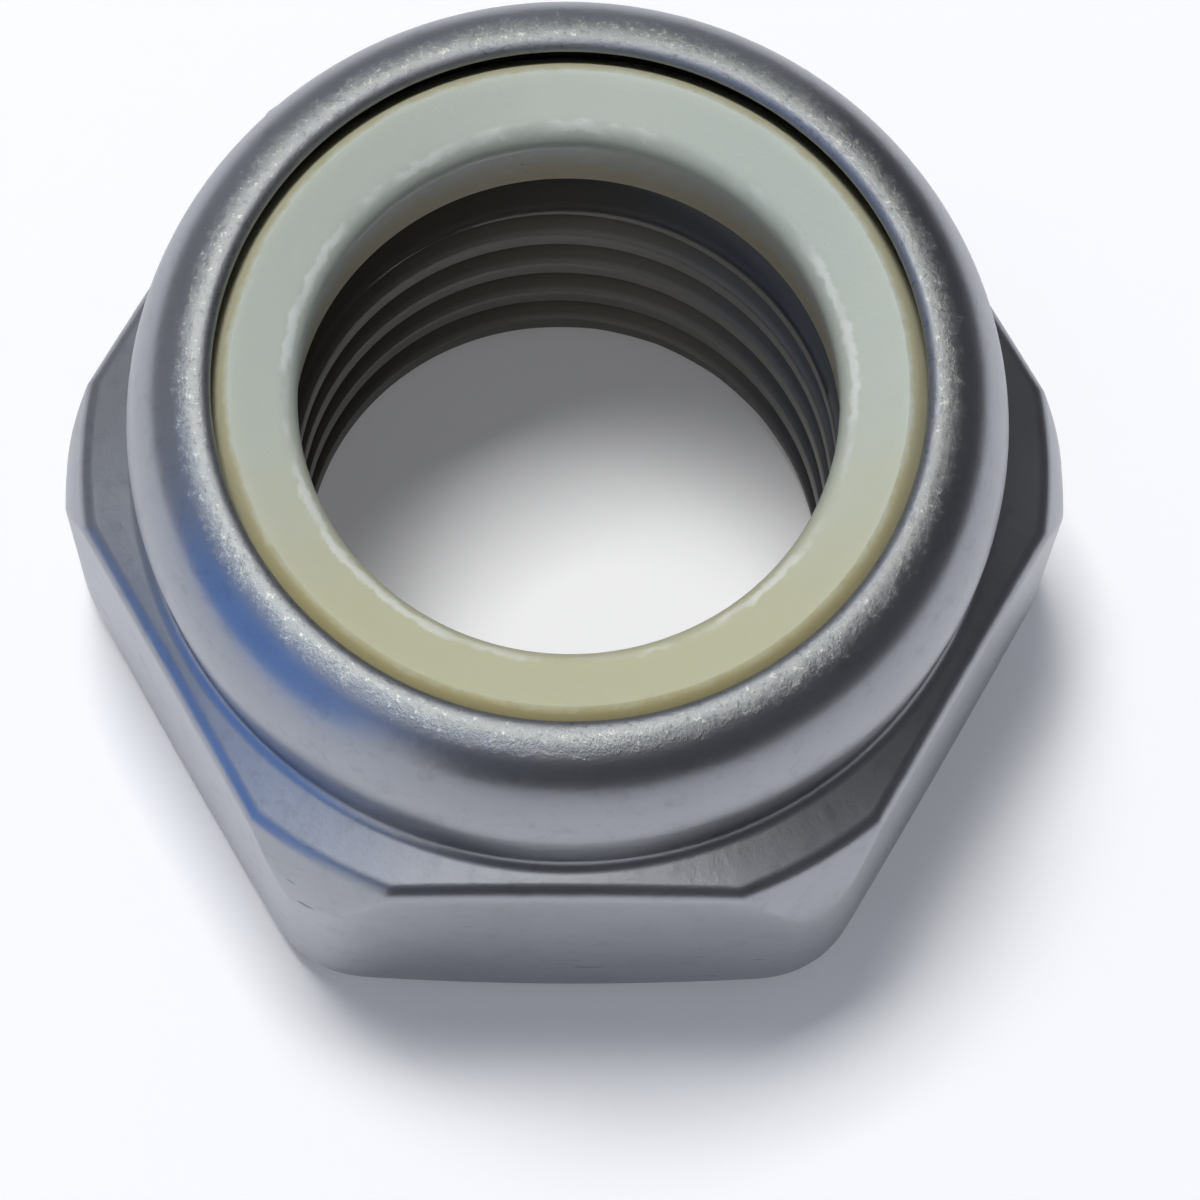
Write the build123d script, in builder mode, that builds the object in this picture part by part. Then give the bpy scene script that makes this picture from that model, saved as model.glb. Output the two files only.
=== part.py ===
from build123d import *

import os
from math import radians, tan

# Nylon insert lock nut, M20 coarse: a forged steel hexagon nut whose crimped collar holds a nylon ring.
#
# The nut stands on its bearing face.  The origin is the centre of that face, +Z runs along the thread
# axis towards the collar, two corners of the hexagon lie on the X axis and two flats face along Y.
# All sizes are in millimetres.

os.makedirs("parts", exist_ok=True)

# --- Driving dimensions -------------------------------------------------------------------------

# Thread, M20 x 2.5.  Its depth, as a share of the pitch, puts the minor diameter near the top of the 6H range
thread_diameter = 20.0
thread_pitch = 2.5
thread_depth_share = 0.48
thread_top_height = 11.2

# Hexagon
hexagon_sides = 6
across_flats = 29.5
across_corners = 33.0
flat_top_round = 0.7
bearing_diameter = 27.9
bearing_chamfer_angle = 30.0

# Shoulder between the hexagon and the collar
shoulder_height = 11.75
shoulder_diameter = 31.6
shoulder_slope = 12.0
corner_draw_in = 4.5
neck_round = 0.4

# Collar that is crimped over the nylon
total_height = 19.0
neck_diameter = 27.4
collar_diameter = 27.8
collar_widest_height = 15.0
crown_diameter = 26.2
crown_drop = 1.0
lip_crest_diameter = 23.2
lip_opening_diameter = 22.1
lip_round = 0.35

# Bore: how much wider than the thread its entry and the relief above it are, and how steeply they open
entry_oversize = 0.8
entry_angle = 60.0
relief_oversize = 0.4
relief_angle = 45.0

# Pocket that holds the nylon ring, and the ring
pocket_floor = 14.1
pocket_diameter = 24.2
pocket_wall_top = 15.8
insert_clearance = 0.05
insert_rim_diameter = 21.6
insert_recess = 0.7
insert_rim_angle = 60.0
insert_face_diameter = 21.0
insert_face_rise = 0.15
insert_mouth_diameter = 18.2
insert_mouth_drop = 0.35
insert_bore_diameter = 16.9
insert_throat_drop = 1.4
insert_foot_diameter = 17.4

# --- Sizes that follow from them ----------------------------------------------------------------

flat_distance = across_flats / 2
corner_radius = across_corners / 2
bearing_radius = bearing_diameter / 2
bearing_chamfer_height = (corner_radius - bearing_radius) * tan(radians(bearing_chamfer_angle))
shoulder_radius = shoulder_diameter / 2
neck_radius = neck_diameter / 2
collar_radius = collar_diameter / 2
crown_radius = crown_diameter / 2
crown_height = total_height - crown_drop
crest_radius = lip_crest_diameter / 2
lip_radius = lip_opening_diameter / 2
neck_foot_radius = neck_radius + neck_round
neck_foot_height = shoulder_height + (shoulder_radius - neck_foot_radius) * tan(radians(shoulder_slope))
bore_radius = thread_diameter / 2 - thread_depth_share * thread_pitch
entry_radius = (thread_diameter + entry_oversize) / 2
entry_depth = (entry_radius - bore_radius) / tan(radians(entry_angle))
relief_radius = (thread_diameter + relief_oversize) / 2
relief_height = thread_top_height + (relief_radius - bore_radius) / tan(radians(relief_angle))
pocket_radius = pocket_diameter / 2
insert_radius = pocket_radius - insert_clearance
insert_lip_radius = lip_radius - insert_clearance
insert_rim_radius = insert_rim_diameter / 2
insert_rim_height = total_height - insert_recess
insert_rim_fall = (insert_radius - insert_rim_radius) * tan(radians(insert_rim_angle))
insert_face_radius = insert_face_diameter / 2
insert_mouth_radius = insert_mouth_diameter / 2
insert_mouth_height = insert_rim_height - insert_mouth_drop
insert_bore_radius = insert_bore_diameter / 2
insert_throat_height = insert_rim_height - insert_throat_drop
insert_foot_radius = insert_foot_diameter / 2

# --- Nut body: hexagon, shoulder and crimped collar, forged in one piece --------------------------

with BuildPart() as nut_body:
    with BuildSketch():
        RegularPolygon(flat_distance, hexagon_sides, major_radius=False)
    extrude(amount=total_height)

    # Turned outline: bearing chamfer, drawn-in corners, shoulder, neck and domed collar
    with BuildSketch(Plane.YZ):
        with BuildLine():
            Polyline(
                (0, 0),
                (bearing_radius, 0),
                (corner_radius, bearing_chamfer_height),
                (corner_radius, shoulder_height - corner_draw_in),
            )
            TangentArc(
                (corner_radius, shoulder_height - corner_draw_in),
                (shoulder_radius, shoulder_height),
                tangent=(0, 1),
            )
            Line((shoulder_radius, shoulder_height), (neck_foot_radius, neck_foot_height))
            neck = TangentArc(
                (neck_foot_radius, neck_foot_height),
                (neck_radius, neck_foot_height + neck_round),
                tangent=(neck_foot_radius - shoulder_radius, neck_foot_height - shoulder_height),
            )
            Line(neck @ 1, (collar_radius, collar_widest_height))
            wall = TangentArc(
                (collar_radius, collar_widest_height),
                (crown_radius, crown_height),
                tangent=(0, 1),
            )
            crown = TangentArc(wall @ 1, (crest_radius, total_height), tangent=wall % 1)
            Polyline(crown @ 1, (0, total_height), (0, 0))
        make_face()
    revolve(axis=Axis.Z, mode=Mode.INTERSECT)

    # Forging leaves the rim of the shoulder soft, round the flats and the corners alike
    shoulder_rim = edges().filter_by(GeomType.LINE, reverse=True).filter_by(
        lambda edge: shoulder_height - flat_top_round < edge.center().Z < neck_foot_height
    )
    fillet(shoulder_rim, flat_top_round)

    # Bore: entry chamfer, tapped hole at its minor diameter, relief, and the pocket of the ring
    with BuildSketch(Plane.YZ):
        with BuildLine():
            Polyline(
                (0, 0),
                (entry_radius, 0),
                (bore_radius, entry_depth),
                (bore_radius, thread_top_height),
                (relief_radius, relief_height),
                (relief_radius, pocket_floor),
                (pocket_radius, pocket_floor),
                (pocket_radius, pocket_wall_top),
            )
            pocket_wall = TangentArc(
                (pocket_radius, pocket_wall_top),
                (lip_radius, total_height - lip_round),
                tangent=(0, 1),
            )
            lip_edge = TangentArc(
                pocket_wall @ 1,
                (lip_radius + lip_round, total_height),
                tangent=(0, 1),
            )
            Polyline(lip_edge @ 1, (0, total_height), (0, 0))
        make_face()
    revolve(axis=Axis.Z, mode=Mode.SUBTRACT)

nut_body.part.label = "nut_body"
export_step(nut_body.part, "parts/nut_body.step")

# --- Nylon insert: a moulded ring with a bevelled rim and a flared mouth ---------------------------

with BuildPart() as nylon_insert:
    # Blank that fills the pocket up to the lip
    with BuildSketch(Plane.YZ):
        with BuildLine():
            Polyline((0, pocket_floor), (insert_radius, pocket_floor), (insert_radius, pocket_wall_top))
            blank_wall = TangentArc(
                (insert_radius, pocket_wall_top),
                (insert_lip_radius, total_height - lip_round),
                tangent=(0, 1),
            )
            Polyline(blank_wall @ 1, (0, total_height - lip_round), (0, pocket_floor))
        make_face()
    revolve(axis=Axis.Z)

    # Rim bevel, dished top face, rounded mouth and the bore that widens towards its foot
    with BuildSketch(Plane.YZ):
        with BuildLine():
            Polyline(
                (0, pocket_floor),
                (0, total_height),
                (insert_radius, total_height),
                (insert_radius, insert_rim_height - insert_rim_fall),
                (insert_rim_radius, insert_rim_height),
                (insert_face_radius, insert_rim_height + insert_face_rise),
            )
            face = Line(
                (insert_face_radius, insert_rim_height + insert_face_rise),
                (insert_mouth_radius, insert_mouth_height),
            )
            mouth = TangentArc(face @ 1, (insert_bore_radius, insert_throat_height), tangent=face % 1)
            Polyline(mouth @ 1, (insert_foot_radius, pocket_floor), (0, pocket_floor))
        make_face()
    revolve(axis=Axis.Z, mode=Mode.SUBTRACT)

nylon_insert.part.label = "nylon_insert"
export_step(nylon_insert.part, "parts/nylon_insert.step")
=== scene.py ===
import math

import bmesh
import bpy
from mathutils import Matrix, Vector


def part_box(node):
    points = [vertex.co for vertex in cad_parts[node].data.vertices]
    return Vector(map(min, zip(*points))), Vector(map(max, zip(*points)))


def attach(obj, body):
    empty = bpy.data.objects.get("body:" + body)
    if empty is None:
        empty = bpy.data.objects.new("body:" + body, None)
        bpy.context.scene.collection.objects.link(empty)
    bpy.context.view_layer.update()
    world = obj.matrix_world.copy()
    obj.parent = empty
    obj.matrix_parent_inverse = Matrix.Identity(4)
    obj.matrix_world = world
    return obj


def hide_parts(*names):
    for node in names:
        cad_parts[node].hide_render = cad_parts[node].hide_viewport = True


bl_info = {
    "name": "Nylon Insert Lock Nut",
    "version": (1, 0, 0),
    "blender": (4, 5, 0),
    "location": "View3D > Sidebar > Lock Nut",
    "description": "Dresses the packed lock nut: threaded steel body, nylon ring, materials and studio",
    "category": "Object",
}

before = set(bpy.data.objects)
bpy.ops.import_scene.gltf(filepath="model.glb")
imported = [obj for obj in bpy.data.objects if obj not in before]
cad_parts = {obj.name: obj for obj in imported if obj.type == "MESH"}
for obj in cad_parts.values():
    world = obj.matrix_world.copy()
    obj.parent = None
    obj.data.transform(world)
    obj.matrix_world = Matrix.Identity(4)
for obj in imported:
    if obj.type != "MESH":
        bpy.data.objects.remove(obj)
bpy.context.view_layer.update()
NUT_LOW, NUT_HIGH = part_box("nut_body")
RING_LOW, RING_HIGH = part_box("nylon_insert")

MM = 0.001
TURN = 2 * math.pi
BACK = TURN / 4
HEXAGON_SIDES = 6

# Sizes that the frame gives
ACROSS_FLATS = NUT_HIGH.y - NUT_LOW.y
ACROSS_CORNERS = NUT_HIGH.x - NUT_LOW.x
HEIGHT = NUT_HIGH.z - NUT_LOW.z
RING_FOOT = RING_LOW.z
RING_RADIUS = RING_HIGH.x


# --- Sizes and colours a user would change --------------------------------------------------------


def length(name, description, millimetres):
    """A length property whose default is given in millimetres."""
    return bpy.props.FloatProperty(
        name=name, description=description, default=millimetres * MM, unit="LENGTH", precision=5
    )


def angle(name, description, degrees):
    """An angle property whose default is given in degrees."""
    return bpy.props.FloatProperty(
        name=name, description=description, default=math.radians(degrees), subtype="ANGLE"
    )


def share(name, description, default):
    """A property that runs from 0 to 1."""
    return bpy.props.FloatProperty(
        name=name, description=description, default=default, min=0.0, max=1.0, subtype="FACTOR"
    )


def amount(name, description, default):
    """A property that holds a plain number."""
    return bpy.props.FloatProperty(name=name, description=description, default=default)


def colour(name, description, default):
    """A linear colour property."""
    return bpy.props.FloatVectorProperty(
        name=name, description=description, default=default, min=0.0, max=1.0, size=3, subtype="COLOR"
    )


class LockNutBody(bpy.types.PropertyGroup):
    """Sizes of the steel body."""

    flat_top_round: length("Flat top round", "Radius of the forged rim over each flat", 0.7)
    bearing_diameter: length("Bearing diameter", "Outer diameter of the face the nut stands on", 27.9)
    bearing_angle: angle("Bearing chamfer", "Slope of the chamfer round the bearing face", 30.0)
    shoulder_height: length("Shoulder height", "Height of the shoulder's rim", 11.75)
    shoulder_diameter: length("Shoulder diameter", "Diameter of the shoulder's rim", 31.2)
    shoulder_slope: angle("Shoulder slope", "Rise of the shoulder towards the neck", 12.0)
    corner_draw_in: length("Corner draw-in", "Height over which the corners draw in to the shoulder", 4.5)
    neck_round: length("Neck round", "Radius between the shoulder and the collar", 0.4)
    neck_diameter: length("Neck diameter", "Diameter of the collar's foot", 27.4)
    collar_diameter: length("Collar diameter", "Diameter of the collar where it is widest", 27.8)
    collar_widest_height: length("Collar widest height", "Height at which the collar is widest", 15.0)
    crown_diameter: length("Crown diameter", "Diameter where the collar starts to turn in", 26.2)
    crown_drop: length("Crown drop", "How far below the top the collar starts to turn in", 1.0)
    lip_crest_diameter: length("Lip crest diameter", "Diameter of the lip's highest line", 23.2)
    lip_opening_diameter: length("Lip opening diameter", "Diameter of the opening inside the lip", 22.1)
    lip_round: length("Lip round", "Radius of the lip's inner edge", 0.35)
    pocket_diameter: length("Pocket diameter", "Diameter of the pocket that holds the ring", 24.2)
    pocket_wall_top: length("Pocket wall top", "Height at which the pocket starts to close in", 15.8)


class LockNutThread(bpy.types.PropertyGroup):
    """Sizes of the tapped hole."""

    diameter: length("Thread diameter", "Major diameter of the thread", 20.0)
    pitch: length("Pitch", "Distance between the thread's turns", 2.5)
    depth_share: share("Depth share", "Depth of the thread as a share of its pitch", 0.48)
    flank_angle: angle("Flank angle", "Lean of each flank from square to the axis", 30.0)
    root_share: share("Root share", "Width of the root as a share of the pitch", 0.125)
    crest_height: length("Crest height", "Height of one crest line at the back of the bore", 1.27)
    top_height: length("Thread top height", "Height at which the thread runs out", 11.2)
    entry_oversize: length("Entry oversize", "How much wider than the thread its entry is", 0.8)
    entry_angle: angle("Entry angle", "Steepness of the entry chamfer", 60.0)
    relief_oversize: length("Relief oversize", "How much wider than the thread the relief above it is", 0.4)
    relief_angle: angle("Relief angle", "Steepness of the run-out under the relief", 45.0)


class LockNutRing(bpy.types.PropertyGroup):
    """Sizes of the nylon ring."""

    clearance: length("Clearance", "Gap between the ring and its pocket", 0.05)
    rim_diameter: length("Rim diameter", "Diameter at the top of the bevelled rim", 21.6)
    recess: length("Recess", "Depth of the rim below the top of the nut", 0.7)
    rim_angle: angle("Rim angle", "Steepness of the bevelled rim", 60.0)
    face_diameter: length("Face diameter", "Diameter of the highest line of the top face", 21.0)
    face_rise: length("Face rise", "Rise of that line above the rim", 0.15)
    mouth_diameter: length("Mouth diameter", "Diameter at which the face rounds into the bore", 18.2)
    mouth_drop: length("Mouth drop", "Drop of the mouth below the rim", 0.35)
    bore_diameter: length("Bore diameter", "Diameter of the bore's throat", 16.9)
    throat_drop: length("Throat drop", "Drop of the throat below the rim", 1.4)
    foot_diameter: length("Foot diameter", "Diameter of the bore at the ring's foot", 17.4)


class LockNutFinish(bpy.types.PropertyGroup):
    """Colours of the finishes."""

    plating: colour("Plating", "Dull satin grey of the plated steel", (0.315, 0.325, 0.35))
    # Painted highlight: lighter plating on the crimped lip, brightest along its crest
    plating_lip_highlight: colour("Lip highlight plating", "Where the plating is rubbed bright", (0.58, 0.60, 0.57))
    plating_dark: colour("Stained plating", "Where the plating is stained", (0.085, 0.09, 0.10))
    # Painted glints: near-white specks in the lip's painted highlight
    lip_glint: colour("Lip glint", "Bare bright specks of the lip", (0.88, 0.88, 0.80))
    # Painted shade: the tapped hole is painted much darker than the plating
    thread_shade: colour("Thread steel", "Oily dark steel of the tapped hole", (0.095, 0.09, 0.08))
    # Painted highlight: lighter lines along the thread's crests
    thread_crest_highlight: colour("Thread crest", "Steel worn lighter along the thread's crests", (0.15, 0.145, 0.135))
    nylon: colour("Nylon", "Translucent off-white of the ring", (0.51, 0.55, 0.48))
    nylon_cream: colour("Nylon cream", "Creamier side of the ring", (0.53, 0.52, 0.355))
    # A brown stain in the lower bore, and painted shade on the rim under the lip
    nylon_stain_and_shade: colour("Nylon stain and shade", "Brown stain at the rim and in the lower bore", (0.38, 0.30, 0.10))
    # Painted highlight: a white band along the mouth's rounded edge
    nylon_mouth_highlight: colour("Nylon mouth highlight", "White scuff along the mouth", (0.80, 0.82, 0.78))


class LockNutStudio(bpy.types.PropertyGroup):
    """The camera, floor and lights."""

    camera_place: bpy.props.FloatVectorProperty(
        name="Camera place", description="Where the camera stands", default=(-0.001684, -0.04998, 0.14714),
        size=3, subtype="TRANSLATION", unit="LENGTH", precision=5,
    )
    camera_pan: angle("Camera pan", "Turn of the view from +Y towards +X", 3.497)
    camera_tilt: angle("Camera tilt", "Tilt of the view below the horizon", 71.55)
    camera_roll: angle("Camera roll", "Roll of the view", -3.68)
    lens: bpy.props.FloatProperty(
        name="Lens", description="Focal length on a 36 mm sensor", default=134.14, unit="CAMERA"
    )
    floor_size: length("Floor size", "Side of the square floor", 1600.0)
    floor_colour: colour("Floor", "Colour of the floor", (0.92, 0.92, 0.92))
    floor_lift: amount("Floor lift", "Light the floor gains for the camera and in reflections", 0.12)
    fill_colour: colour("Fill", "Colour of the light all round", (0.72, 0.78, 1.0))
    fill_strength: share("Fill strength", "Strength of the light all round", 0.25)
    backdrop_colour: colour("Backdrop", "Colour of the backdrop", (1.0, 1.0, 1.0))
    key_direction: bpy.props.FloatVectorProperty(
        name="Key direction", description="Where the key lamp stands, 1 m from the nut",
        default=(-0.14, 0.27, 0.95), size=3, subtype="DIRECTION",
    )
    key_power: amount("Key power", "Watts of the key lamp", 7.8)
    soft_card: colour("Soft card", "Colour of the key lamp in the reflections", (1.0, 0.99, 0.96))
    soft_card_strength: amount("Soft card strength", "Strength of the key lamp in the reflections", 5.5)
    front_direction: bpy.props.FloatVectorProperty(
        name="Front direction", description="Where the weaker soft card stands",
        default=(-0.02, -0.26, 0.96), size=3, subtype="DIRECTION",
    )
    soft_front_strength: amount("Soft front strength", "Strength of the weaker soft card", 2.6)
    dark_card: colour("Dark cards", "Dim surroundings in the reflections", (0.10, 0.10, 0.11))
    dim_card: colour("Dim cards", "Half lit surroundings in the reflections", (0.34, 0.35, 0.37))
    blue_card: colour("Blue cards", "Sky in the reflections", (0.20, 0.40, 0.92))


GROUPS = (LockNutBody, LockNutThread, LockNutRing, LockNutFinish, LockNutStudio)


# --- Mesh helpers ---------------------------------------------------------------------------------

STRAIGHT = 1e-12
WELD_GAP = 1e-8
SHARP_ANGLE = math.radians(35)


def arc(start, tangent, end, steps):
    """Points after start on the arc that leaves it along a tangent, as (radius, height)."""
    start, end = Vector(start), Vector(end)
    tangent = Vector(tangent).normalized()
    chord = end - start
    normal = Vector((-tangent.y, tangent.x))
    across = chord.dot(normal)
    if abs(across) < STRAIGHT:
        return line(start, end, steps)
    radius = chord.length_squared / (2 * across)
    centre = start + normal * radius
    sweep = 2 * math.atan2(across, chord.dot(tangent))
    spoke = start - centre
    points = []
    for i in range(steps):
        turned = Matrix.Rotation(sweep * (i + 1) / steps, 2) @ spoke
        points.append(tuple(centre + turned))
    return points


def arc_end_tangent(start, tangent, end):
    """Direction in which that arc arrives at its end."""
    chord = Vector(end) - Vector(start)
    tangent = Vector(tangent).normalized()
    return tuple(chord * (2 * chord.dot(tangent) / chord.length_squared) - tangent)


def line(start, end, steps=1):
    """Points after start on a straight line."""
    start, end = Vector(start), Vector(end)
    return [tuple(start.lerp(end, (i + 1) / steps)) for i in range(steps)]


def add_row(bm, points):
    """A vertex for each (radius, height) point of a profile."""
    return [bm.verts.new((radius, 0.0, height)) for radius, height in points]


def add_edges(bm, row, following):
    """An edge from each vertex of a row to the one that follows it."""
    return [bm.edges.new(pair) for pair in zip(row, following)]


def spin_round(bm, row, edges, columns):
    """Turns a profile once round Z and joins its ends."""
    bmesh.ops.spin(
        bm, geom=row + edges, cent=(0, 0, 0), axis=(0, 0, 1), angle=TURN, steps=columns, use_merge=True
    )
    bmesh.ops.remove_doubles(bm, verts=bm.verts, dist=WELD_GAP)


def add_object(bm, name, material):
    """Makes the bmesh an object of the scene."""
    mesh = bpy.data.meshes.new(name)
    bm.to_mesh(mesh)
    bm.free()
    mesh.materials.append(material)
    made = bpy.data.objects.new(name, mesh)
    bpy.context.scene.collection.objects.link(made)
    return made


def finish_piece(bm, name, node, material):
    """Makes the bmesh a smooth piece on the root body that stands for a CAD node."""
    bmesh.ops.recalc_face_normals(bm, faces=bm.faces)
    piece = add_object(bm, name, material)
    piece.data.shade_smooth()
    piece.data.set_sharp_from_angle(angle=SHARP_ANGLE)
    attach(piece, "root")
    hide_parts(node)


# --- Shader helpers -------------------------------------------------------------------------------


class Value:
    """A number in a shader: an expression on such values adds its Math nodes."""

    def __init__(self, shader, socket):
        self.shader = shader
        self.socket = socket

    def math(self, operation, *others):
        return self.shader.node("ShaderNodeMath", {"operation": operation}, [self, *others])

    def __add__(self, other):
        return self.math("ADD", other)

    __radd__ = __add__

    def __mul__(self, other):
        return self.math("MULTIPLY", other)

    __rmul__ = __mul__

    def __sub__(self, other):
        return self.math("SUBTRACT", other)

    def __rsub__(self, other):
        return self.shader.node("ShaderNodeMath", {"operation": "SUBTRACT"}, [other, self])

    def __pow__(self, other):
        return self.math("POWER", other)


class Shader:
    """A material or a world whose nodes are added one call at a time."""

    def __init__(self, owner):
        owner.use_nodes = True
        self.owner = owner
        self.tree = owner.node_tree
        self.tree.nodes.clear()

    def node(self, kind, settings=None, inputs=(), output=0):
        """Adds a node, sets it, then fills its sockets by position or by name; gives an output."""
        made = self.tree.nodes.new(kind)
        for name, value in (settings or {}).items():
            setattr(made, name, value)
        pairs = inputs.items() if isinstance(inputs, dict) else enumerate(inputs)
        for key, value in pairs:
            self.fill(made.inputs[key], value)
        return Value(self, made.outputs[output]) if made.outputs else None

    def fill(self, socket, value):
        """Links a value to a socket, or sets the socket to a plain one."""
        if isinstance(value, Value):
            self.tree.links.new(value.socket, socket)
        else:
            socket.default_value = value

    def place(self, scale=(1.0, 1.0, 1.0)):
        """Object coordinates in millimetres, stretched along each axis."""
        coordinates = self.node("ShaderNodeTexCoord", output="Object")
        per_millimetre = tuple(s / MM for s in scale)
        return self.node("ShaderNodeMapping", {}, {"Vector": coordinates, "Scale": per_millimetre})

    def part(self, vector, axis):
        """One component of a vector."""
        return self.node("ShaderNodeSeparateXYZ", {}, [vector], output=axis)

    def radius(self, vector):
        """Distance from the Z axis."""
        x = self.part(vector, "X")
        y = self.part(vector, "Y")
        return (x * x + y * y) ** 0.5

    def noise(self, vector, scale, detail, roughness):
        """Noise of the given scale, from 0 to 1."""
        return self.node(
            "ShaderNodeTexNoise", {},
            {"Vector": vector, "Scale": scale, "Detail": detail, "Roughness": roughness},
            output="Fac",
        )

    def between(self, value, low, high):
        """0 below low, 1 above high, and a smooth step between."""
        return self.node(
            "ShaderNodeMapRange", {"interpolation_type": "SMOOTHSTEP"},
            {"Value": value, "From Min": low, "From Max": high},
        )

    def mix(self, factor, one, two):
        """Mixes two colours."""
        return self.node(
            "ShaderNodeMix", {"data_type": "RGBA"},
            {"Factor": factor, "A": rgba(one), "B": rgba(two)}, output="Result",
        )

    def bump(self, height, distance, strength, normal=None):
        """A Bump node whose height is in units of distance."""
        inputs = {"Height": height, "Distance": distance, "Strength": strength}
        if normal is not None:
            inputs["Normal"] = normal
        return self.node("ShaderNodeBump", {}, inputs)

    def seen(self):
        """1 for what the camera sees and for reflections, 0 for light that falls on things."""
        camera, glossy, through = (
            self.node("ShaderNodeLightPath", output=name)
            for name in ("Is Camera Ray", "Is Glossy Ray", "Is Transmission Ray")
        )
        return camera.math("MAXIMUM", glossy).math("MAXIMUM", through)

    def output(self, surface, kind="ShaderNodeOutputMaterial"):
        """Sends a surface to the output, and gives the material or the world."""
        self.node(kind, {}, {"Surface": surface})
        return self.owner


def rgba(value):
    """A plain colour with its alpha; a linked one is passed on."""
    if isinstance(value, Value):
        return value
    return (*value, 1.0)


# --- Steel body -----------------------------------------------------------------------------------

BODY_COLUMNS = 600
OUTLINE_ROWS = 34
THREAD_COLUMNS = 240
THREAD_ROWS = 24
TURNS_BELOW = 2
CORNER_CROWDING = 0.55
EDGE_ROUND = 0.15 * MM
CORNER_SOFTNESS = 0.45 * MM
CREST_SOFTNESS = 0.10 * MM
STRAIGHT_WEIGHT = 0.1 / MM
TRIM_GAP = 1e-7


def soft_smaller(one, other, softness):
    """The smaller of two lengths, rounded where they meet."""
    overlap = max(softness - abs(one - other), 0.0)
    return min(one, other) - overlap * overlap / (4 * softness)


def soft_larger(one, other, softness):
    """The larger of two lengths, rounded where they meet."""
    return -soft_smaller(-one, -other, softness)


def hexagon_reach(turned):
    """Distance from the axis to the hexagon's side in a direction."""
    sector = TURN / HEXAGON_SIDES
    off_flat = (turned - BACK + sector / 2) % sector - sector / 2
    flat = ACROSS_FLATS / 2 / math.cos(off_flat)
    return soft_smaller(flat, ACROSS_CORNERS / 2, CORNER_SOFTNESS)


def crowd(turned):
    """Moves evenly spaced directions towards the hexagon's corners."""
    return turned - CORNER_CROWDING * math.sin(HEXAGON_SIDES * turned) / HEXAGON_SIDES


def fillet_points(before, corner, after, radius, steps):
    """Points of a round between two straight lines that meet in a corner."""
    corner = Vector(corner)
    inward = (corner - Vector(before)).normalized()
    outward = (Vector(after) - corner).normalized()
    reach = radius * math.tan(inward.angle(outward) / 2)
    start = corner - inward * reach
    return [tuple(start)] + arc(start, inward, corner + outward * reach, steps)


def fan(centre, radius, first, last, steps):
    """Points on an arc round a centre, between two directions."""
    turns = [first + (last - first) * i / steps for i in range(steps + 1)]
    return [(centre.x + radius * math.cos(t), centre.y + radius * math.sin(t)) for t in turns]


def neck_foot(sizes):
    """The point at which the shoulder's cone meets the neck's round."""
    radius = sizes.neck_diameter / 2 + sizes.neck_round
    rise = (sizes.shoulder_diameter / 2 - radius) * math.tan(sizes.shoulder_slope)
    return radius, sizes.shoulder_height + rise


def hexagon_outline(sizes, reach):
    """The outline from the bearing face to the neck, where the hexagon's side stands at a reach."""
    corner = ACROSS_CORNERS / 2
    bearing = sizes.bearing_diameter / 2
    chamfer_top = (reach, (reach - bearing) * math.tan(sizes.bearing_angle))
    rim = Vector((sizes.shoulder_diameter / 2, sizes.shoulder_height))
    rounding = sizes.flat_top_round

    # The arc that draws the corners in, and the shoulder's cone, both sunk by the rim's round
    drawn = corner - rim.x
    draw_radius = (drawn ** 2 + sizes.corner_draw_in ** 2) / (2 * drawn)
    draw_centre = Vector((corner - draw_radius, rim.y - sizes.corner_draw_in))
    normal = Vector((math.sin(sizes.shoulder_slope), math.cos(sizes.shoulder_slope)))
    inward = Vector((-normal.y, normal.x))
    sunk = rim - normal * rounding
    offset = sunk - draw_centre
    half = offset.dot(inward)
    root = math.sqrt(half ** 2 - offset.length_squared + (draw_radius - rounding) ** 2)
    rim_centre = sunk - inward * (root + half)
    cone_direction = math.atan2(normal.y, normal.x)

    points = fillet_points((0, 0), (bearing, 0), chamfer_top, EDGE_ROUND, steps=6)
    points += fillet_points((bearing, 0), chamfer_top, (reach, rim.y), EDGE_ROUND, steps=10)
    side = reach - rounding
    if side < rim_centre.x:
        height = sunk.y - (side - sunk.x) * normal.x / normal.y
        points += fan(Vector((side, height)), rounding, 0.0, cone_direction, steps=24)
    else:
        rise = math.sqrt(max((draw_radius - rounding) ** 2 - (side - draw_centre.x) ** 2, 0.0))
        meeting = math.atan2(rise, side - draw_centre.x)
        leaving = math.atan2(rim_centre.y - draw_centre.y, rim_centre.x - draw_centre.x)
        points += fan(Vector((side, draw_centre.y + rise)), rounding, 0.0, meeting, steps=10)
        points += fan(draw_centre, draw_radius, meeting, leaving, steps=12)[1:]
        points += fan(rim_centre, rounding, leaving, cone_direction, steps=16)[1:]
    return points + [neck_foot(sizes)]


def resample(points, count):
    """The same outline with a fixed number of points, close together where it turns."""
    points = [Vector(p) for p in points]
    steps = [b - a for a, b in zip(points, points[1:])]
    turns = [a.angle(b, 0.0) for a, b in zip(steps, steps[1:])]
    turns = [0.0] + turns + [0.0]
    weights = [s.length * STRAIGHT_WEIGHT + (a + b) / 2 for s, a, b in zip(steps, turns, turns[1:])]
    total = sum(weights)
    spread, passed, index = [points[0]], 0.0, 0
    for row in range(1, count - 1):
        wanted = total * row / (count - 1)
        while passed + weights[index] < wanted:
            passed += weights[index]
            index += 1
        spread.append(points[index].lerp(points[index + 1], (wanted - passed) / weights[index]))
    return spread + [points[-1]]


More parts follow.
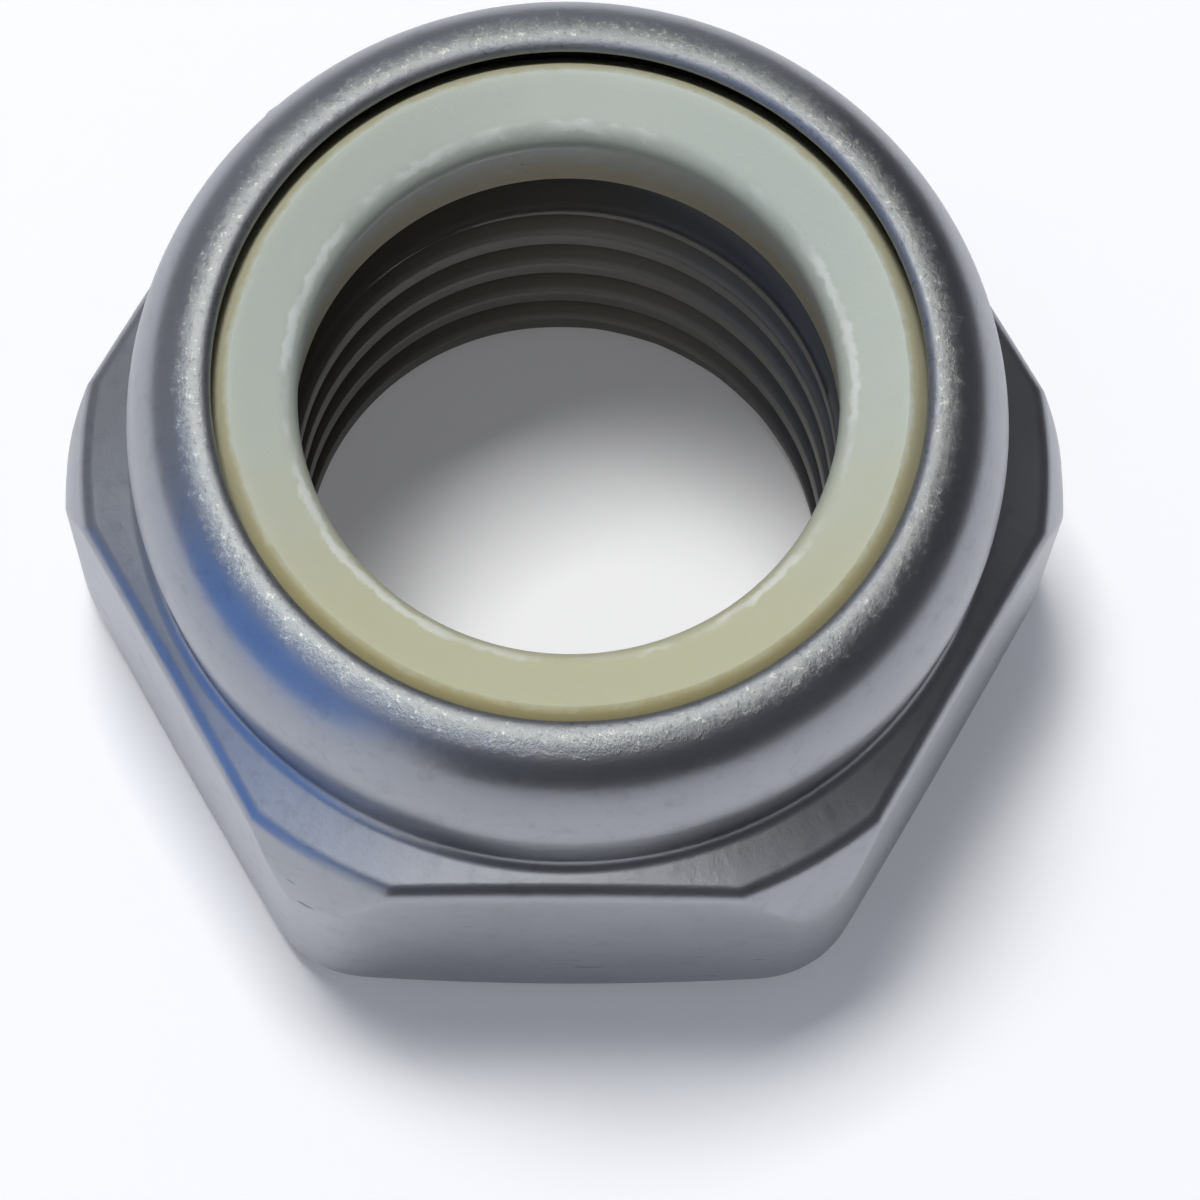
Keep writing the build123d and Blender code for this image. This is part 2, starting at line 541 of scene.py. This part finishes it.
def collar_outline(sizes):
    """The outline from the neck over the collar and its lip, down the pocket to its floor."""
    foot = neck_foot(sizes)
    neck_top = (sizes.neck_diameter / 2, foot[1] + sizes.neck_round)
    widest = (sizes.collar_diameter / 2, sizes.collar_widest_height)
    crown = (sizes.crown_diameter / 2, HEIGHT - sizes.crown_drop)
    crest = (sizes.lip_crest_diameter / 2, HEIGHT)
    lip_radius = sizes.lip_opening_diameter / 2
    lip_top = (lip_radius + sizes.lip_round, HEIGHT)
    lip_foot = (lip_radius, HEIGHT - sizes.lip_round)
    pocket = (sizes.pocket_diameter / 2, sizes.pocket_wall_top)
    slope = (-math.cos(sizes.shoulder_slope), math.sin(sizes.shoulder_slope))

    points = arc(foot, slope, neck_top, steps=6)
    points += line(neck_top, widest, steps=2)
    points += arc(widest, (0, 1), crown, steps=10)
    points += arc(crown, arc_end_tangent(widest, (0, 1), crown), crest, steps=9)
    points += line(crest, lip_top)
    points += arc(lip_top, (-1, 0), lip_foot, steps=6)
    pocket_wall = arc(pocket, (0, 1), lip_foot, steps=6)
    points += pocket_wall[-2::-1] + [pocket]
    return points + [(pocket[0], RING_FOOT)]


def crest_radius(thread):
    """Radius of the tapped hole at the thread's crests."""
    return thread.diameter / 2 - thread.depth_share * thread.pitch


def relief_radius(thread):
    """Radius of the relief above the thread."""
    return (thread.diameter + thread.relief_oversize) / 2


def bore_limit(thread, height):
    """How far the entry chamfer and the relief open the bore at a height."""
    entry = (thread.diameter + thread.entry_oversize) / 2 - height * math.tan(thread.entry_angle)
    run_out = crest_radius(thread) + (height - thread.top_height) * math.tan(thread.relief_angle)
    return max(entry, min(run_out, relief_radius(thread)))


def thread_radius(thread, off_crest):
    """Radius of the tapped hole at a distance along the axis from the middle of a crest."""
    bore, root = crest_radius(thread), thread.diameter / 2
    flank = (root - bore) * math.tan(thread.flank_angle)
    crest = thread.pitch * (1 - thread.root_share) / 2 - flank
    rising = bore + (abs(off_crest) - crest) / math.tan(thread.flank_angle)
    return soft_smaller(soft_larger(rising, bore, CREST_SOFTNESS), root, CREST_SOFTNESS)


def add_thread(bm, thread, top):
    """Sweeps one turn up a helix, stacks its copies, trims them level and opens both ends."""
    start = thread.crest_height - thread.pitch * BACK / TURN
    along = [(i / THREAD_ROWS - 0.5) * thread.pitch for i in range(THREAD_ROWS + 1)]
    row = add_row(bm, [(thread_radius(thread, off), start + off) for off in along])
    edges = add_edges(bm, row, row[1:])
    climb = Vector((0.0, 0.0, thread.pitch / THREAD_COLUMNS))
    bmesh.ops.spin(
        bm, geom=row + edges, cent=(0, 0, 0), axis=(0, 0, 1), dvec=climb,
        angle=TURN, steps=THREAD_COLUMNS, use_merge=False,
    )
    turn = bm.verts[:] + bm.edges[:] + bm.faces[:]
    for step in range(-TURNS_BELOW, math.ceil(top / thread.pitch) + 1):
        if step:
            copied = bmesh.ops.duplicate(bm, geom=turn)["geom"]
            moved = [g for g in copied if isinstance(g, bmesh.types.BMVert)]
            bmesh.ops.translate(bm, verts=moved, vec=(0.0, 0.0, step * thread.pitch))
    bmesh.ops.remove_doubles(bm, verts=bm.verts, dist=TRIM_GAP)
    for height, side in ((0.0, -1.0), (top, 1.0)):
        bmesh.ops.bisect_plane(
            bm, geom=bm.verts[:] + bm.edges[:] + bm.faces[:], dist=WELD_GAP,
            plane_co=(0, 0, height), plane_no=(0, 0, side), clear_outer=True,
        )
    for vertex in bm.verts:
        flat = Vector((vertex.co.x, vertex.co.y))
        wide = soft_larger(flat.length, bore_limit(thread, vertex.co.z), CREST_SOFTNESS)
        vertex.co.xy = flat.normalized() * wide


def boundary(bm, height):
    """The open edges that lie at a height."""
    open_edges = [edge for edge in bm.edges if edge.is_boundary]
    return [edge for edge in open_edges if all(abs(v.co.z - height) < TRIM_GAP for v in edge.verts)]


def shape_shell(sizes):
    """The body's outside and pocket: a turned outline whose lower rows are drawn out to the hexagon."""
    bm = bmesh.new()
    row_layer = bm.verts.layers.int.new("row")
    outline = resample(hexagon_outline(sizes, hexagon_reach(0.0)), OUTLINE_ROWS)
    row = add_row(bm, [tuple(point) for point in outline] + collar_outline(sizes))
    for i, vertex in enumerate(row):
        vertex[row_layer] = i
    spin_round(bm, row, add_edges(bm, row, row[1:]), BODY_COLUMNS)
    outlines = {}
    for vertex in bm.verts:
        column = round(math.atan2(vertex.co.y, vertex.co.x) / TURN * BODY_COLUMNS) % BODY_COLUMNS
        turned = crowd(TURN * column / BODY_COLUMNS)
        radius = math.hypot(vertex.co.x, vertex.co.y)
        if vertex[row_layer] < OUTLINE_ROWS:
            if column not in outlines:
                outlines[column] = resample(hexagon_outline(sizes, hexagon_reach(turned)), OUTLINE_ROWS)
            radius, vertex.co.z = outlines[column][vertex[row_layer]]
        vertex.co.xy = (radius * math.cos(turned), radius * math.sin(turned))
    return bm


def shape_bore(thread):
    """The tapped hole, and above it the relief up to the pocket's floor."""
    bm = bmesh.new()
    run_out = (relief_radius(thread) - crest_radius(thread)) / math.tan(thread.relief_angle)
    top = thread.top_height + run_out
    add_thread(bm, thread, top)
    raised = bmesh.ops.extrude_edge_only(bm, edges=boundary(bm, top))["geom"]
    for vertex in (g for g in raised if isinstance(g, bmesh.types.BMVert)):
        vertex.co.z = RING_FOOT
    return bm


def shape_body(sizes, thread):
    """The whole steel body: hexagon, shoulder, collar, pocket and tapped hole, closed."""
    bm = shape_shell(sizes)
    bore = shape_bore(thread)
    carrier = bpy.data.meshes.new("bore")
    bore.to_mesh(carrier)
    bore.free()
    bm.from_mesh(carrier)
    bpy.data.meshes.remove(carrier)
    for height in (0.0, RING_FOOT):
        bmesh.ops.triangle_fill(bm, edges=boundary(bm, height), use_beauty=True, normal=(0, 0, 1))
    return bm


# --- Nylon ring -----------------------------------------------------------------------------------

RING_COLUMNS = 360


def ring_outline(sizes, body):
    """The ring's section, from the foot of its bore over its face and down the pocket's wall."""
    rim_height = HEIGHT - sizes.recess
    rim = (sizes.rim_diameter / 2, rim_height)
    face = (sizes.face_diameter / 2, rim_height + sizes.face_rise)
    mouth = (sizes.mouth_diameter / 2, rim_height - sizes.mouth_drop)
    throat = (sizes.bore_diameter / 2, rim_height - sizes.throat_drop)
    foot = (sizes.foot_diameter / 2, RING_FOOT)
    pocket = (RING_RADIUS, body.pocket_wall_top)
    lip = (body.lip_opening_diameter / 2 - sizes.clearance, HEIGHT - body.lip_round)
    bevel_foot = (RING_RADIUS, rim_height - (RING_RADIUS - rim[0]) * math.tan(sizes.rim_angle))
    wall = arc(pocket, (0, 1), lip, steps=40)
    inner = [foot] + line(foot, throat, steps=12)
    slope = (Vector(mouth) - Vector(face)).normalized()
    mouth_arc = arc(mouth, slope, throat, steps=14)
    inner += mouth_arc[-2::-1] + [mouth]
    inner += line(mouth, face, steps=6)
    inner += line(face, rim, steps=2)
    slant = (rim[1] - bevel_foot[1]) / (RING_RADIUS - rim[0])
    meeting = next(i for i, p in enumerate(wall) if p[1] > rim[1] - (p[0] - rim[0]) * slant)
    return inner + wall[meeting - 1::-1] + [pocket, (RING_RADIUS, RING_FOOT)]


def shape_ring(sizes, body):
    """The nylon ring, turned from its closed section."""
    bm = bmesh.new()
    row = add_row(bm, ring_outline(sizes, body))
    spin_round(bm, row, add_edges(bm, row, row[1:] + row[:1]), RING_COLUMNS)
    return bm


# --- Finishes -------------------------------------------------------------------------------------

# Heights above the bearing face over which a finish sets in or ends, in millimetres
LIP_FOOT = (17.7, 18.1)
BORE_TOP = (14.2, 14.3)
SIDE_TOP = (10.4, 11.2)
LOW_STAIN = (14.5, 17.5)
MOUTH_HIGHLIGHT_FOOT = (17.2, 17.5)

# Distances from the axis, in millimetres
BORE_EDGE = (10.42, 10.55)
SIDE_EDGE = (14.3, 14.6)

# Distances from the lip's opening and crest, the thread's crest, the ring's face line and its mouth line
LIP_HIGHLIGHT_INSET = 0.1
LIP_REACH = 0.40
LIP_EDGE = (-0.34, 0.30)
CREST_HIGHLIGHT = (0.06, 0.28)
RIM_SHADE = (-0.04, 0.22)
MOUTH_HIGHLIGHT_INSET = 0.24
MOUTH_HIGHLIGHT_START = (-0.20, -0.06)
MOUTH_HIGHLIGHT_END = (0.04, 0.20)

# Distance towards the front, from the middle of the nut
CREAM_FRONT = (-1.0, 9.0)

# How the noise is squeezed along each axis for upright drawn lines and for flat nicks
DRAWN_STRETCH = (5.0, 5.0, 0.5)
NICK_STRETCH = (0.55, 0.55, 3.6)

CLOUD_GAIN = 1.12
STEEL_ROUGHNESS = 0.35
NYLON_ROUGHNESS = 0.32
NYLON_GLOW = {
    "Subsurface Weight": 0.6,
    "Subsurface Radius": (1.0, 0.95, 0.7),
    "Subsurface Scale": 1.2 * MM,
}


def steel_finish(colours, body, thread):
    """Dull plated steel: faintly clouded, with a painted highlight and painted glints on the lip, and painted
    shade in the thread with a painted highlight on its crests.
    """
    s = Shader(bpy.data.materials.new("steel_finish"))
    place = s.place()
    height = s.part(place, "Z")
    radius = s.radius(place)
    opening = body.lip_opening_diameter / 2 / MM
    crest = body.lip_crest_diameter / 2 / MM
    off_crest = radius - crest_radius(thread) / MM

    wander = s.noise(place, scale=1.4, detail=4.0, roughness=0.65)
    fine = s.noise(place, scale=11.0, detail=2.0, roughness=0.6)
    cloud = s.noise(place, scale=0.16, detail=3.0, roughness=0.5)
    speck = s.noise(place, scale=4.2, detail=4.0, roughness=0.8)
    drawn = s.noise(s.place(DRAWN_STRETCH), scale=1.0, detail=3.0, roughness=0.6)
    nick = s.noise(s.place(NICK_STRETCH), scale=1.0, detail=2.0, roughness=0.5)

    # The lip: from its opening out to a ragged line past the crest; its painted highlight is brightest along
    # the crest
    ragged_edge = radius - crest - LIP_REACH - 0.9 * (wander - 0.5) - 0.8 * (speck - 0.5)
    lip = (1 - s.between(ragged_edge, *LIP_EDGE)) * s.between(height, *LIP_FOOT)
    lip_highlight = lip * s.between(radius, opening + LIP_HIGHLIGHT_INSET, crest)
    bore = (1 - s.between(radius, *BORE_EDGE)) * (1 - s.between(height, *BORE_TOP))
    side = s.between(radius, *SIDE_EDGE) * (1 - s.between(height, *SIDE_TOP))

    # The tone: clouds and stains everywhere, then nicks, the lip's painted highlight with its painted glints,
    # and the thread's painted shade with painted highlight on its crests
    clouded = tuple(channel * CLOUD_GAIN for channel in colours.plating)
    tone = s.mix(s.between(cloud, 0.3, 0.7), colours.plating, clouded)
    tone = s.mix(0.18 * s.between(wander, 0.50, 0.75), tone, colours.plating_dark)
    nicked = side * s.between(nick, 0.69, 0.72) * s.between(cloud, 0.44, 0.58)
    tone = s.mix(0.7 * nicked, tone, colours.plating_dark)
    # Painted highlight over the lip
    tone = s.mix(0.75 * lip_highlight, tone, colours.plating_lip_highlight)
    # Painted glints: near-white specks within that highlight
    lip_glint = lip_highlight * s.between(speck, 0.58, 0.66)
    tone = s.mix(lip_glint, tone, colours.lip_glint)
    pit = lip * (1 - s.between(speck, 0.36, 0.44))
    tone = s.mix(0.35 * pit, tone, colours.plating_dark)
    # Painted highlight along the thread's crests
    crest_highlight = 1 - s.between(off_crest, *CREST_HIGHLIGHT)
    thread_tone = s.mix(crest_highlight, colours.thread_shade, colours.thread_crest_highlight)
    # Painted shade: the tapped hole takes the darker thread colours
    tone = s.mix(bore, tone, thread_tone)

    rough = STEEL_ROUGHNESS + 0.10 * (cloud - 0.5) + 0.10 * (fine - 0.5) + 0.14 * lip + 0.16 * bore
    grain = s.bump(fine, distance=0.005 * MM, strength=0.6)
    drawn_lines = s.bump(drawn * side, distance=0.012 * MM, strength=0.5, normal=grain)
    marks = s.bump(wander, distance=0.022 * MM, strength=0.5, normal=drawn_lines)
    dents = s.bump(1 - nicked, distance=0.03 * MM, strength=0.8, normal=marks)
    ragged = s.bump(speck * lip, distance=0.035 * MM, strength=0.8, normal=dents)
    surface = s.node(
        "ShaderNodeBsdfPrincipled", {},
        {"Base Color": tone, "Metallic": 1.0, "Roughness": rough, "Normal": ragged},
    )
    return s.output(surface)


def nylon_finish(colours, ring):
    """Translucent off-white nylon: creamy at the front, painted shade at the rim, stained in the lower bore,
    and a painted highlight along the mouth.
    """
    s = Shader(bpy.data.materials.new("nylon_finish"))
    place = s.place()
    height = s.part(place, "Z")
    back = s.part(place, "Y")
    radius = s.radius(place)
    face = ring.face_diameter / 2 / MM
    mouth = ring.mouth_diameter / 2 / MM

    cloud = s.noise(place, scale=0.30, detail=3.0, roughness=0.6)
    wander = s.noise(place, scale=1.6, detail=4.0, roughness=0.65)
    fine = s.noise(place, scale=11.0, detail=2.0, roughness=0.5)

    cream = s.between(5.0 * (cloud - 0.5) - back, *CREAM_FRONT)
    tone = s.mix(cream, colours.nylon, colours.nylon_cream)
    # Painted shade: the rim and its bevel darken brown towards the lip
    rim_shade = s.between(radius - face + 0.5 * (wander - 0.5), *RIM_SHADE)
    low_stain = 1 - s.between(height + 1.8 * (wander - 0.5), *LOW_STAIN)
    tone = s.mix(0.50 * rim_shade, tone, colours.nylon_stain_and_shade)
    tone = s.mix(0.85 * low_stain, tone, colours.nylon_stain_and_shade)

    # Painted highlight: a ragged white band along the mouth's rounded edge
    off_edge = radius - mouth + MOUTH_HIGHLIGHT_INSET - 0.5 * (wander - 0.5)
    mouth_highlight = s.between(off_edge, *MOUTH_HIGHLIGHT_START) * (1 - s.between(off_edge, *MOUTH_HIGHLIGHT_END))
    mouth_highlight = mouth_highlight * s.between(height, *MOUTH_HIGHLIGHT_FOOT) * s.between(cloud, 0.36, 0.56)
    tone = s.mix(0.6 * mouth_highlight, tone, colours.nylon_mouth_highlight)

    rough = NYLON_ROUGHNESS + 0.16 * (cloud - 0.5) + 0.1 * (fine - 0.5)
    grain = s.bump(wander + 0.3 * fine, distance=0.03 * MM, strength=0.5)
    surface = s.node(
        "ShaderNodeBsdfPrincipled", {},
        {"Base Color": tone, "Roughness": rough, "Normal": grain, **NYLON_GLOW},
    )
    return s.output(surface)


def floor_finish(studio):
    """Plain white floor that keeps the shadow, lifted where it is seen and clear from beneath."""
    s = Shader(bpy.data.materials.new("floor_finish"))
    seen = s.seen()
    diffuse = s.node("ShaderNodeBsdfDiffuse", {}, {"Color": rgba(studio.floor_colour)})
    lift = s.node("ShaderNodeEmission", {}, {"Strength": seen * studio.floor_lift})
    top = s.node("ShaderNodeAddShader", {}, [diffuse, lift])
    clear = s.node("ShaderNodeBsdfTransparent")
    beneath = s.node("ShaderNodeNewGeometry", output="Backfacing")
    return s.output(s.node("ShaderNodeMixShader", {}, [beneath, top, clear]))


def card_finish(name, tint, strength):
    """Plain card that shows only in reflections."""
    s = Shader(bpy.data.materials.new(name))
    return s.output(s.node("ShaderNodeEmission", {}, {"Color": rgba(tint), "Strength": strength}))


# --- Studio ---------------------------------------------------------------------------------------

SENSOR_WIDTH = 36.0
CLIP_START = 0.01
CLIP_END = 20.0
FLOOR_GAP = 0.02 * MM
KEY_SIZE = 0.30

# The cards: direction from the nut, distance and size in metres; sides are degrees round from +X
SOFT_DISTANCE = 0.42
SOFT_KEY_SIZE = (0.15, 0.15)
SOFT_FRONT_SIZE = (0.15, 0.12)
OVERHEAD_DIRECTION = (0.50, 0.00, 0.86)
OVERHEAD_DISTANCE = 0.50
OVERHEAD_SIZE = (0.42, 0.60)
SIDE_RISE = 0.55
SIDE_DISTANCE = 0.080
SIDE_SIZE = (0.078, 0.10)
DARK_SIDES = (272, 315, 358, 38)
DIM_SIDES = (84, 130, 172)
HIGH_SKY_DIRECTION = (-0.40, -0.02, 0.92)
HIGH_SKY_DISTANCE = 0.40
HIGH_SKY_SIZE = (0.13, 0.18)
LOW_SKY_DIRECTION = (-0.73, -0.42, 0.30)
LOW_SKY_DISTANCE = 0.068
LOW_SKY_SIZE = (0.050, 0.085)


def add_camera(studio):
    """The camera, looking down on the nut from the front."""
    pan, tilt, roll = studio.camera_pan, studio.camera_tilt, studio.camera_roll
    forward = Vector((math.cos(tilt) * math.sin(pan), math.cos(tilt) * math.cos(pan), -math.sin(tilt)))
    level = forward.cross(Vector((0, 0, 1))).normalized()
    under = forward.cross(level)
    right = math.cos(roll) * level + math.sin(roll) * under
    down = -math.sin(roll) * level + math.cos(roll) * under
    data = bpy.data.cameras.new("camera")
    data.lens = studio.lens
    data.sensor_width = SENSOR_WIDTH
    data.clip_start = CLIP_START
    data.clip_end = CLIP_END
    camera = bpy.data.objects.new("camera", data)
    turned = Matrix((right, -down, -forward)).transposed().to_4x4()
    camera.matrix_world = Matrix.Translation(Vector(studio.camera_place)) @ turned
    bpy.context.scene.collection.objects.link(camera)
    bpy.context.scene.camera = camera


def add_key_lamp(studio):
    """The lamp that lights the nut. Reflections show the soft card in its place."""
    data = bpy.data.lights.new("key", "AREA")
    data.shape = "SQUARE"
    data.size = KEY_SIZE
    data.energy = studio.key_power
    lamp = bpy.data.objects.new("key", data)
    place = Vector(studio.key_direction).normalized()
    lamp.location = place
    lamp.rotation_euler = (-place).to_track_quat("-Z", "Y").to_euler()
    lamp.visible_glossy = False
    bpy.context.scene.collection.objects.link(lamp)


def add_world(studio):
    """White to the camera and in reflections, softer as a light."""
    s = Shader(bpy.data.worlds.new("studio"))
    seen = s.seen()
    tint = s.mix(seen, studio.fill_colour, studio.backdrop_colour)
    strength = studio.fill_strength + seen * (1.0 - studio.fill_strength)
    background = s.node("ShaderNodeBackground", {}, {"Color": tint, "Strength": strength})
    bpy.context.scene.world = s.output(background, "ShaderNodeOutputWorld")


def add_card(name, direction, distance, size, tint, strength=1.0):
    """A card that faces the nut and shows only in reflections."""
    bm = bmesh.new()
    bmesh.ops.create_grid(bm, x_segments=1, y_segments=1, size=0.5)
    away = Vector(direction).normalized()
    bmesh.ops.scale(bm, verts=bm.verts, vec=(*size, 1.0))
    bmesh.ops.transform(bm, verts=bm.verts, matrix=away.to_track_quat("Z", "Y").to_matrix().to_4x4())
    bmesh.ops.translate(bm, verts=bm.verts, vec=away * distance)
    card = add_object(bm, name, card_finish(name, tint, strength))
    card.visible_camera = False
    card.visible_diffuse = False
    card.visible_transmission = False
    card.visible_shadow = False


def add_cards(studio):
    """What the steel reflects: the lamp, a second soft light, dim surroundings and sky."""
    soft, sky = studio.soft_card, studio.blue_card
    key_strength, front_strength = studio.soft_card_strength, studio.soft_front_strength
    add_card("soft_card", studio.key_direction, SOFT_DISTANCE, SOFT_KEY_SIZE, soft, key_strength)
    add_card("soft_front", studio.front_direction, SOFT_DISTANCE, SOFT_FRONT_SIZE, soft, front_strength)
    add_card("dark_overhead", OVERHEAD_DIRECTION, OVERHEAD_DISTANCE, OVERHEAD_SIZE, studio.dark_card)
    for sides, name, tint in (
        (DARK_SIDES, "dark_card", studio.dark_card),
        (DIM_SIDES, "dim_card", studio.dim_card),
    ):
        for degrees in sides:
            side = math.radians(degrees)
            away = (math.cos(side), math.sin(side), SIDE_RISE)
            add_card(f"{name}_{degrees}", away, SIDE_DISTANCE, SIDE_SIZE, tint)
    add_card("blue_card_high", HIGH_SKY_DIRECTION, HIGH_SKY_DISTANCE, HIGH_SKY_SIZE, sky)
    add_card("blue_card_low", LOW_SKY_DIRECTION, LOW_SKY_DISTANCE, LOW_SKY_SIZE, sky)


def add_floor(studio):
    """The floor, just under the nut."""
    bm = bmesh.new()
    bmesh.ops.create_grid(bm, x_segments=1, y_segments=1, size=studio.floor_size / 2)
    bmesh.ops.translate(bm, verts=bm.verts, vec=(0.0, 0.0, -FLOOR_GAP))
    add_object(bm, "floor", floor_finish(studio))


# --- Operators ------------------------------------------------------------------------------------


class LOCKNUT_OT_steel_body(bpy.types.Operator):
    """Build the steel body with its tapped hole"""

    bl_idname = "locknut.steel_body"
    bl_label = "Steel Body"

    def execute(self, context):
        scene = context.scene
        bm = shape_body(scene.lock_nut_body, scene.lock_nut_thread)
        finish = steel_finish(scene.lock_nut_finish, scene.lock_nut_body, scene.lock_nut_thread)
        finish_piece(bm, "steel_body", "nut_body", finish)
        return {"FINISHED"}


class LOCKNUT_OT_nylon_ring(bpy.types.Operator):
    """Build the nylon ring that the collar holds"""

    bl_idname = "locknut.nylon_ring"
    bl_label = "Nylon Ring"

    def execute(self, context):
        scene = context.scene
        bm = shape_ring(scene.lock_nut_ring, scene.lock_nut_body)
        finish = nylon_finish(scene.lock_nut_finish, scene.lock_nut_ring)
        finish_piece(bm, "nylon_ring", "nylon_insert", finish)
        return {"FINISHED"}


class LOCKNUT_OT_studio(bpy.types.Operator):
    """Build the floor, the lights and the camera"""

    bl_idname = "locknut.studio"
    bl_label = "Studio"

    def execute(self, context):
        studio = context.scene.lock_nut_studio
        add_floor(studio)
        add_world(studio)
        add_key_lamp(studio)
        add_cards(studio)
        add_camera(studio)
        context.scene.view_settings.view_transform = "Standard"
        return {"FINISHED"}


class LOCKNUT_PT_panel(bpy.types.Panel):
    """Lists the steps that dress the lock nut"""

    bl_idname = "LOCKNUT_PT_panel"
    bl_label = "Lock Nut"
    bl_space_type = "VIEW_3D"
    bl_region_type = "UI"
    bl_category = "Lock Nut"

    def draw(self, context):
        for operator in OPERATORS:
            self.layout.operator(operator.bl_idname)
        for group in GROUPS:
            box = self.layout.box()
            box.label(text=group.__doc__)
            settings = getattr(context.scene, SCENE_NAMES[group])
            for name in group.__annotations__:
                box.prop(settings, name)


OPERATORS = (LOCKNUT_OT_steel_body, LOCKNUT_OT_nylon_ring, LOCKNUT_OT_studio)
SCENE_NAMES = {
    LockNutBody: "lock_nut_body",
    LockNutThread: "lock_nut_thread",
    LockNutRing: "lock_nut_ring",
    LockNutFinish: "lock_nut_finish",
    LockNutStudio: "lock_nut_studio",
}


def register():
    for group, name in SCENE_NAMES.items():
        bpy.utils.register_class(group)
        setattr(bpy.types.Scene, name, bpy.props.PointerProperty(type=group))
    for item in (*OPERATORS, LOCKNUT_PT_panel):
        bpy.utils.register_class(item)


def unregister():
    for item in (LOCKNUT_PT_panel, *reversed(OPERATORS)):
        bpy.utils.unregister_class(item)
    for group, name in SCENE_NAMES.items():
        delattr(bpy.types.Scene, name)
        bpy.utils.unregister_class(group)


def main():
    """Dresses the nut."""
    register()
    bpy.ops.locknut.steel_body()
    bpy.ops.locknut.nylon_ring()
    bpy.ops.locknut.studio()


if __name__ == "__main__":
    main()
